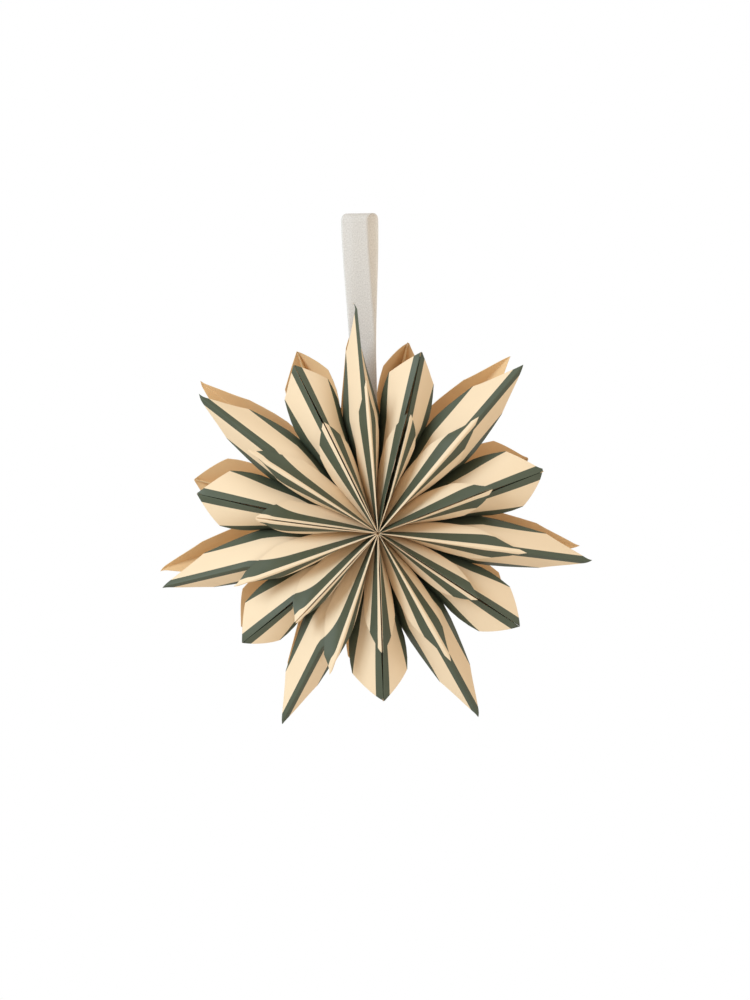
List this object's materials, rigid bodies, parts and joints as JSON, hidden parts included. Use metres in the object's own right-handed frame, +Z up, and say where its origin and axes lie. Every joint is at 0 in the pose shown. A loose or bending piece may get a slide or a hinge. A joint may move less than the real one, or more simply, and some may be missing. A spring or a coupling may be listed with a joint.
{
  "type": "folded paper star",
  "caption": "Striped folded paper star for hanging up, made of nested gusseted paper tubes fanned round an axis, with pointed leaves and a ribbon loop.",
  "frame": {"origin": "where the inside of the ribbon loop bears on the hook that the star hangs from", "axes": "+Z up along the ribbon, -Y out of the star's front, the star's axis runs along Y"},
  "size_m": [0.297, 0.1048, 0.3471],
  "materials": {
    "long_tube_paper": "matte uncoated paper, cream with dark green stripes along the folds",
    "short_sleeve_paper": "matte uncoated paper, cream with dark green stripes along the folds",
    "ribbon": "thin off-white woven ribbon, slightly see-through",
    "seam_tape": "pale grey double-sided tape"
  },
  "bodies": {
    "root": {"long_tube_1": "long_tube_paper", "short_sleeve_1": "short_sleeve_paper", "long_tube_2": "long_tube_paper", "short_sleeve_2": "short_sleeve_paper", "long_tube_3": "long_tube_paper", "short_sleeve_3": "short_sleeve_paper", "long_tube_4": "long_tube_paper", "short_sleeve_4": "short_sleeve_paper", "long_tube_5": "long_tube_paper", "short_sleeve_5": "short_sleeve_paper", "long_tube_6": "long_tube_paper", "short_sleeve_6": "short_sleeve_paper", "long_tube_7": "long_tube_paper", "short_sleeve_7": "short_sleeve_paper", "ribbon_loop": "ribbon", "seam_tape_inner": "seam_tape", "seam_tape_outer": "seam_tape"}
  },
  "joints": []
}
